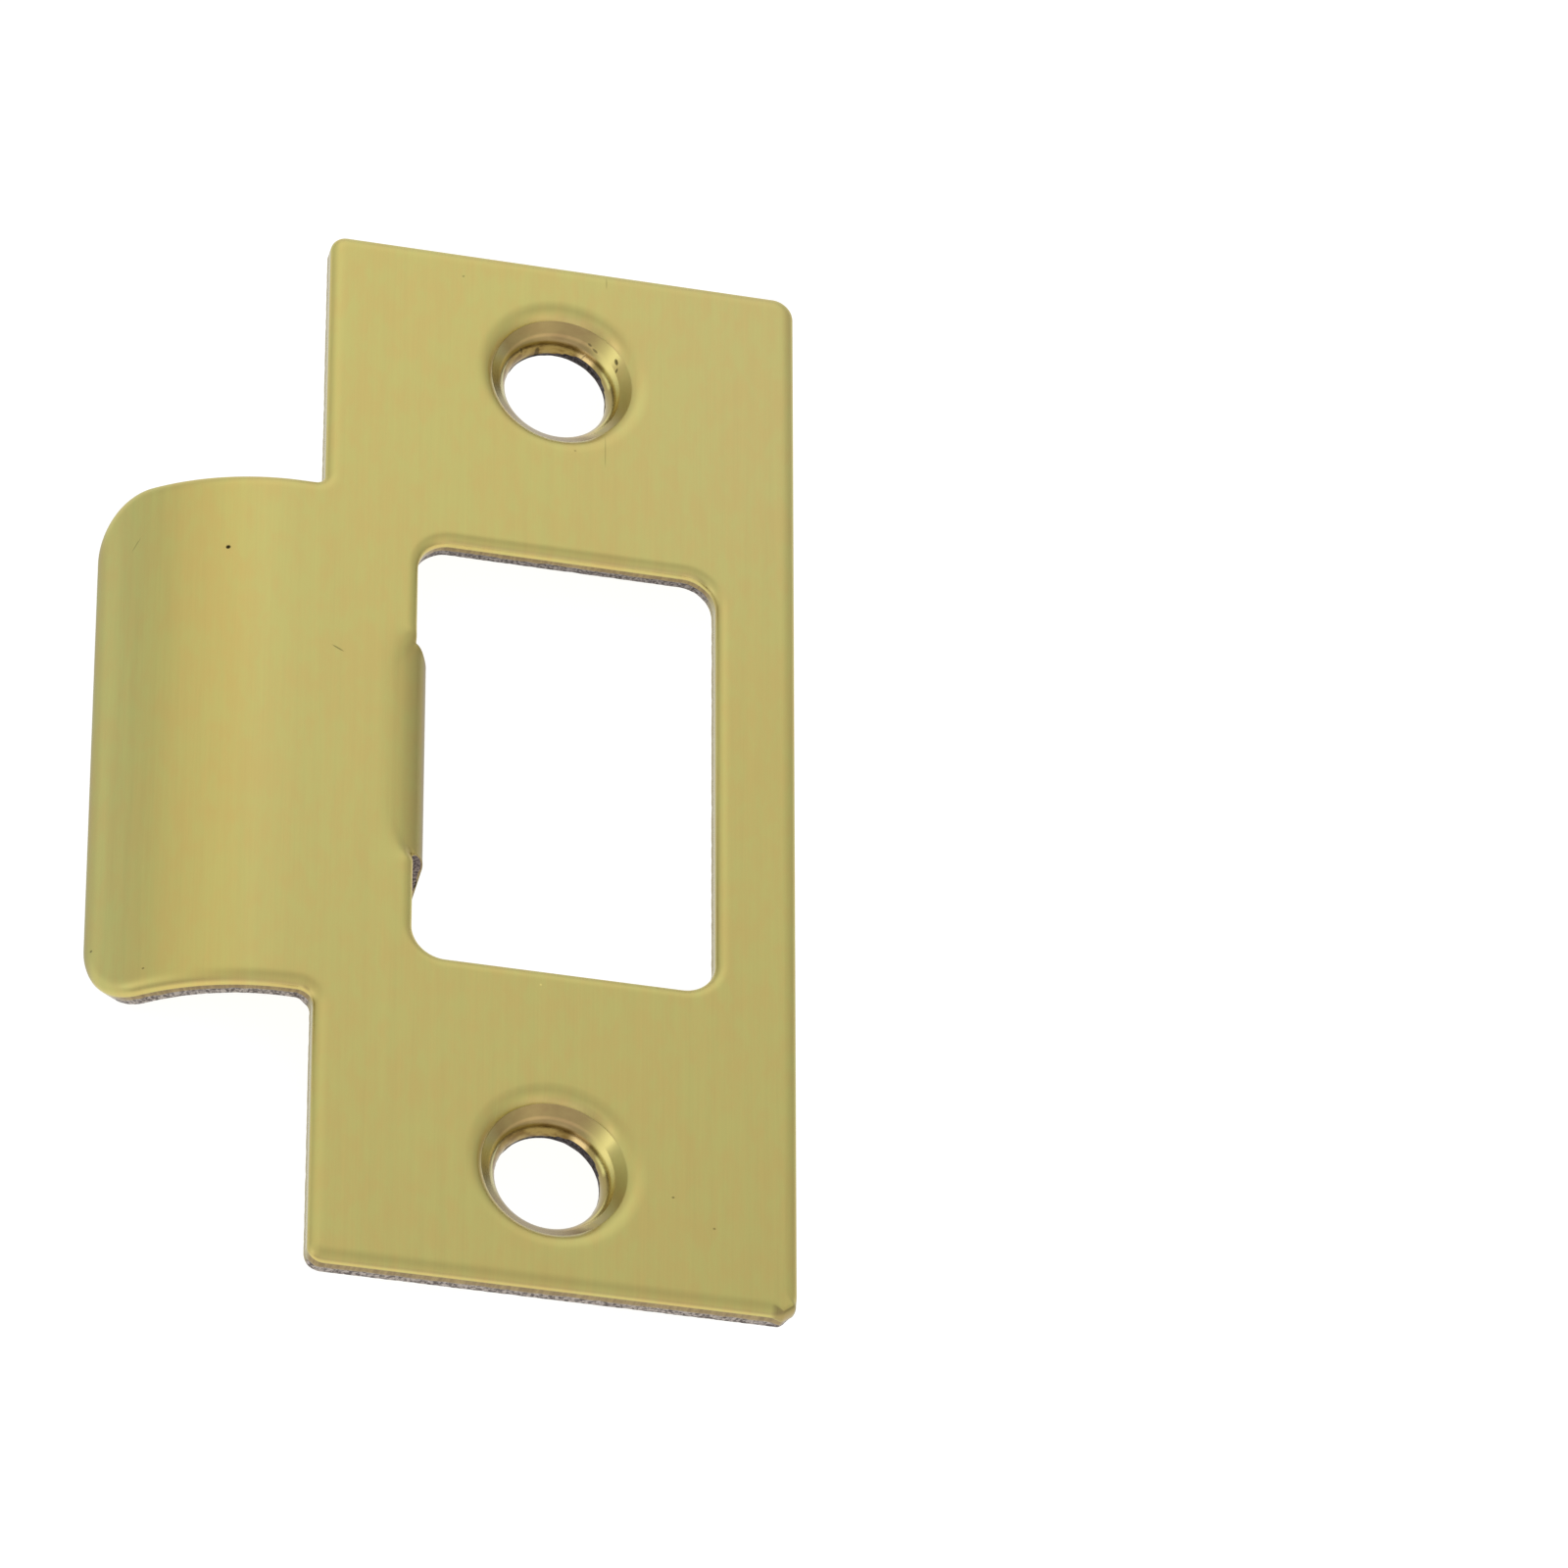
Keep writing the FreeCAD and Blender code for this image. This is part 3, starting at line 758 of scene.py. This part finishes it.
def brass():
    mat = bpy.data.materials.new("brass_sheet")
    mat.use_nodes = True
    tree = Value.tree = mat.node_tree
    tree.nodes.clear()
    out = Value.node("ShaderNodeOutputMaterial")
    shader = Value.node("ShaderNodeBsdfPrincipled")
    tree.links.new(shader.outputs[0], out.inputs[0])
    shader.inputs["Metallic"].default_value = 1.0

    blank = Value.node("ShaderNodeAttribute", attribute_name="blank")
    s, y, depth = parts_of(Value(blank.outputs["Vector"]))
    zone = Value.node("ShaderNodeAttribute", attribute_name="zone")
    coined, sheared, torn = parts_of(Value(zone.outputs["Vector"]))

    # Brushing along the plate: fine lines, and broader faint bands of them.
    lines = grain(vector(s * 9.0, y * 0.16, 0.0), 1.0, 3.0, 0.6)
    bands = grain(vector(s * 1.7, y * 0.045, 4.0), 1.0, 2.0, 0.5)
    patches = grain(vector(s * 0.22, y * 0.12, 9.0), 1.0, 3.0, 0.55)
    mottle = grain(vector(s * 1.1, y * 0.45, 17.0), 1.0, 3.0, 0.6)
    brushed = (1.0 - coined.step(0.3, 0.7)) * (1.0 - sheared.step(0.2, 0.8))

    turned = Value.node("ShaderNodeAttribute", attribute_name="round")
    across, along, in_hole = parts_of(Value(turned.outputs["Vector"]))
    in_hole = in_hole.step(0.3, 0.7)

    green = (0.508, 0.461, 0.160)
    warm = (0.528, 0.431, 0.151)
    face = blend((patches * 0.4 + mottle * 0.6).step(0.36, 0.64), green, warm)
    # Painted light: the colour is made slightly paler towards the top end and
    # duller towards the right. Painted shade dulls the lip past the steep part
    # of the bend and darkens its last millimetre at the lip's end. A warmer band
    # across the lip is the painted colour of its highlight, and the colour is a
    # little bluer towards the upper right.
    tone = 1.0 + (lines - 0.5) * 0.10 + (bands - 0.5) * 0.09
    tone = tone + y * 0.0009 - s * 0.0010
    face = shade(face, tone)
    past = 1.0 - s.step(-24.6, -22.4)
    face = tint(face, (0.93, 0.965, 0.965), past)
    face = tint(face, (1.0, 0.965, 0.92), s.step(-27.0, -23.0) * (1.0 - s.step(-20.0, -17.5)))
    face = tint(face, (0.70, 0.69, 0.76), 1.0 - s.step(-28.75, -27.7))
    face = tint(face, (1.0, 1.0, 1.08), s.step(-4.0, 12.0) * y.step(0.0, 25.0))
    # Painted shade: the sheet is darkened and browned where it turns down into
    # the tab, most on its steep part.
    on_tab = s.step(-9.7, -8.0) * (1.0 - s.step(3.0, 4.0)) * (1.0 - y.math("ABSOLUTE").step(7.3, 7.9))
    face = tint(face, (0.735, 0.725, 0.74), on_tab)
    face = tint(face, (0.64, 0.60, 0.68), on_tab * s.step(-8.4, -7.4))
    # The steep side of the die roll gets a painted highlight where it faces down
    # or right (not along the plate's right edge) and painted shade where it faces
    # left; the deep part of the other rolls is tinted bluer. The rolls that face
    # up or left stay brushed.
    rolled = coined.step(0.1, 0.25) * (1.0 - coined.step(0.3, 0.4)) * depth.step(0.12, 0.42)
    faces_down = along.step(0.3, 0.8)
    faces_right = (0.0 - across).step(0.3, 0.8)
    faces_left = across.step(0.75, 0.98)
    on_right = s.step(13.0, 13.2)
    painted_roll_highlight = (faces_down + faces_right * (1.0 - on_right)).clip()
    face = tint(face, (1.20, 1.14, 1.14), rolled * painted_roll_highlight)
    face = tint(face, (0.90, 0.90, 0.86), rolled * faces_left)
    face = tint(face, (0.99, 1.0, 1.25), rolled * (1.0 - faces_down) * (1.0 - faces_left) * depth.step(0.25, 0.5))
    # Painted shade on the roll at the lower right corner.
    corner_painted_shade = s.step(12.6, 13.1) * (1.0 - y.step(-34.3, -33.7))
    face = tint(face, (0.64, 0.60, 0.66), coined.step(0.03, 0.2) * corner_painted_shade)
    # The countersink's cone was coined, and never brushed. Its brown is partly
    # its own colour and partly painted shade; its right side gets a painted
    # yellow highlight, its far left a paler painted reflection, its lower side
    # painted shade, and its foot a painted highlight line.
    inner = grain(vector(s * 1.1, y * 1.1, depth * 2.0), 1.0, 3.0, 0.6)
    cone = blend(inner.step(0.3, 0.7), (0.372, 0.272, 0.112), (0.405, 0.310, 0.125))
    bright = across.step(0.35, 0.85)
    cone = blend(bright, cone, (0.620, 0.540, 0.192))
    cone = blend((0.0 - across).step(0.80, 0.98), cone, (0.530, 0.490, 0.250))
    # Painted shade on the cone's lower side.
    low = (0.0 - along * 0.85 - across * 0.4).step(0.5, 0.9)
    cone = tint(cone, (0.70, 0.69, 0.72), low)
    # Painted highlight line round the cone's foot.
    ledge_painted_highlight = depth.step(1.03, 1.12) * (1.0 - depth.step(1.16, 1.25)) * (1.0 - low)
    cone = tint(cone, (1.30, 1.26, 1.30), ledge_painted_highlight * (1.0 - bright))
    colour = blend(coined.step(0.35, 0.65), face, cone)
    # Cut walls: first burnished brown, then torn and grey. Inside the screw
    # holes the cut is drawn over and dark gold, partly its own colour and partly
    # painted shade.
    score = grain(vector(s * 4.0, y * 4.0, depth * 0.4), 1.0, 3.0, 0.6)
    cut = blend(score.step(0.3, 0.7), (0.225, 0.158, 0.072), (0.335, 0.247, 0.108))
    gold = blend(inner.step(0.35, 0.6), (0.200, 0.125, 0.035), (0.340, 0.240, 0.075))
    # The right side of it is tinted brown, and two painted highlights sit above.
    gold = blend(bright, gold, (0.340, 0.270, 0.100))
    spot = along.step(0.68, 0.78) * (1.0 - along.step(0.86, 0.95))
    gold = blend(spot * across.step(0.0, 0.2), gold, (0.850, 0.640, 0.300))
    spot = along.step(0.14, 0.28) * (1.0 - along.step(0.48, 0.60)) * across.step(0.0, 0.2)
    gold = blend(spot * (1.0 - depth.step(1.6, 1.9)), gold, (0.760, 0.700, 0.270))
    # Painted light: cut walls that face left are made lighter and yellower.
    cut = blend(faces_left * (1.0 - in_hole), cut, (0.370, 0.325, 0.150))
    drawn = coined.step(0.4, 0.9)
    colour = blend(sheared.step(0.2, 0.8), colour, blend(drawn, cut, gold))
    crumb = grain(vector(s * 5.0, y * 5.0, depth * 5.0), 1.0, 4.0, 0.65)
    torn_colour = blend(crumb.step(0.40, 0.60), (0.085, 0.070, 0.066), (0.350, 0.312, 0.290))
    # Painted light and shade: the torn part is made lighter round the outside,
    # darker on the tab, and nearly black in the screw holes.
    torn_colour = tint(torn_colour, (1.40, 1.40, 1.36), y.math("ABSOLUTE").step(15.0, 16.0))
    torn_colour = tint(torn_colour, (0.80, 0.72, 0.72), on_tab)
    torn_colour = tint(torn_colour, (0.22, 0.21, 0.24), in_hole)
    # Painted light: torn walls that face left are made lighter and yellower.
    wall_left = faces_left * (1.0 - in_hole)
    torn_colour = blend(wall_left, torn_colour, (0.440, 0.390, 0.240))
    colour = blend(torn.step(0.35, 0.65), colour, torn_colour)

    # Specks and scratches.
    marked = None
    for ms, my, long, thin, angle, dark in MARKS:
        c, q = math.cos(math.radians(angle)), math.sin(math.radians(angle))
        u = ((s - ms) * c + (y - my) * q) * (1 / long)
        v = ((y - my) * c - (s - ms) * q) * (1 / thin)
        spot = (1.0 - (u * u + v * v).step(0.3, 1.4)) * dark
        marked = spot if marked is None else marked + spot
    colour = shade(colour, 1.0 - marked)
    Value.feed(shader.inputs["Base Color"], colour)

    rough = 0.40 + (lines - 0.5) * 0.10 + (bands - 0.5) * 0.06
    rough = rough - coined.step(0.0, 0.25) * faces_down * 0.09
    rough = rough * brushed + (1.0 - brushed) * 0.24
    rough = rough + torn.step(0.3, 0.7) * (0.34 + (crumb - 0.5) * 0.3)
    Value.feed(shader.inputs["Roughness"], rough.clip())

    height = (lines - 0.5) * brushed * 0.0030 + (crumb - 0.5) * torn * 0.05
    height = height + (score - 0.5) * sheared * 0.003 - marked * 0.02
    bump = Value.node("ShaderNodeBump")
    bump.inputs["Strength"].default_value = 1.0
    bump.inputs["Distance"].default_value = 0.001
    Value.feed(bump.inputs["Height"], height)
    tree.links.new(bump.outputs[0], shader.inputs["Normal"])
    return mat


mesh.materials.append(brass())
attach(strike, "root")
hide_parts("strike_plate")

# ------------------------------------------------------------ floor and light
low = CAD_BOX[0].z


def plain_plane(name, half, z):
    me = bpy.data.meshes.new(name)
    me.from_pydata(
        [(-half, -half, z), (half, -half, z), (half, half, z), (-half, half, z)],
        [], [(0, 1, 2, 3)],
    )
    ob = bpy.data.objects.new(name, me)
    bpy.context.scene.collection.objects.link(ob)
    return ob


floor = plain_plane("floor", 6.0, low)
pale = bpy.data.materials.new("pale_floor")
pale.use_nodes = True
tree = Value.tree = pale.node_tree
shader = tree.nodes["Principled BSDF"]
shader.inputs["Base Color"].default_value = (0.25, 0.25, 0.25, 1)
shader.inputs["Roughness"].default_value = 0.9
shader.inputs["Specular IOR Level"].default_value = 0.0
shader.inputs["Emission Color"].default_value = (1, 1, 1, 1)
shader.inputs["Emission Strength"].default_value = 0.9
floor.data.materials.append(pale)

world = bpy.data.worlds.new("studio")
bpy.context.scene.world = world
world.use_nodes = True
tree = Value.tree = world.node_tree
tree.nodes.clear()
out = Value.node("ShaderNodeOutputWorld")
backdrop = Value.node("ShaderNodeBackground")
tree.links.new(backdrop.outputs[0], out.inputs[0])
coord = Value.node("ShaderNodeTexCoord")
ahead = Value.node("ShaderNodeVectorMath", operation="NORMALIZE")
Value.feed(ahead.inputs[0], Value(coord.outputs["Generated"]))
ahead = Value(ahead.outputs[0])
# Soft light all round: an even part, and broad pools of light that fade out
# smoothly. (azimuth, elevation, tightness, strength per channel); 90 degrees is
# behind the plate, 180 to its left. The room is darkest over the front.
POOLS = [
    (90, 8, 6, (0.32, 0.34, 0.37)),
    (180, 8, 6, (0.25, 0.28, 0.36)),
    (270, 8, 6, (0.55, 0.51, 0.63)),
    (135, 42, 6, (0.37, 0.35, 0.30)),
    (180, 42, 6, (0.16, 0.16, 0.12)),
    (225, 42, 6, (0.30, 0.28, 0.27)),
    (315, 42, 6, (0.40, 0.39, 0.33)),
    (45, 42, 6, (0.24, 0.24, 0.20)),
    (0, 42, 6, (0.06, 0.05, 0.04)),
    (0, 90, 6, (0.06, 0.06, 0.06)),
    (190, 18, 22, (0.58, 0.55, 0.56)),
    (235, 27, 22, (-0.31, -0.32, -0.31)),
    (280, 27, 22, (-0.30, -0.31, -0.32)),
    (305, 20, 22, (0.12, 0.08, 0.12)),
    (127, 52, 22, (0.12, 0.12, 0.12)),
    (149, 10, 22, (-0.10, -0.08, -0.08)),
]
total = vector(0.475, 0.485, 0.50)
for az, el, tight, strength in POOLS:
    az, el = math.radians(az), math.radians(el)
    toward = Value.node("ShaderNodeVectorMath", operation="DOT_PRODUCT")
    Value.feed(toward.inputs[0], ahead)
    toward.inputs[1].default_value = (
        math.cos(el) * math.cos(az), math.cos(el) * math.sin(az), math.sin(el))
    pool = ((Value(toward.outputs["Value"]) - 1.0) * float(tight)).math("EXPONENT")
    lit = Value.node("ShaderNodeVectorMath", operation="MULTIPLY_ADD")
    lit.inputs[0].default_value = strength
    Value.feed(lit.inputs[1], vector(pool, pool, pool))
    Value.feed(lit.inputs[2], total)
    total = Value(lit.outputs[0])
Value.feed(backdrop.inputs["Color"], total)
backdrop.inputs["Strength"].default_value = 1.0

# The main softbox: above and behind, near enough that the plate's top end gets
# a little more of it than the bottom end.
soft = bpy.data.lights.new("softbox", "AREA")
soft.shape = "DISK"
soft.size = 0.40
soft.energy = 0.16
soft.color = (1.0, 0.97, 1.0)
box = bpy.data.objects.new("softbox", soft)
bpy.context.scene.collection.objects.link(box)
at = Vector((0.0, 0.306, 0.257))
box.matrix_world = Matrix.Translation(at) @ at.to_track_quat("Z", "Y").to_matrix().to_4x4()

# --------------------------------------------------------------------- camera
cam = bpy.data.objects.new("camera", bpy.data.cameras.new("camera"))
bpy.context.scene.collection.objects.link(cam)
cam.data.sensor_width = 36
cam.data.lens = 236.4513
cam.data.clip_start, cam.data.clip_end = 0.01, 50
turn = Matrix(
    (
        (0.9670904, -0.1298038, -0.2188314),
        (-0.0032018, 0.8537975, -0.5205953),
        (0.254413, 0.5041634, 0.8252838),
    )
).to_4x4()
cam.matrix_world = Matrix.Translation(
    Vector((-118.7982, -314.2990, 500.6272)) * 0.001
) @ turn
bpy.context.scene.camera = cam
bpy.context.scene.view_settings.view_transform = "Standard"
bpy.context.scene.view_settings.look = "None"
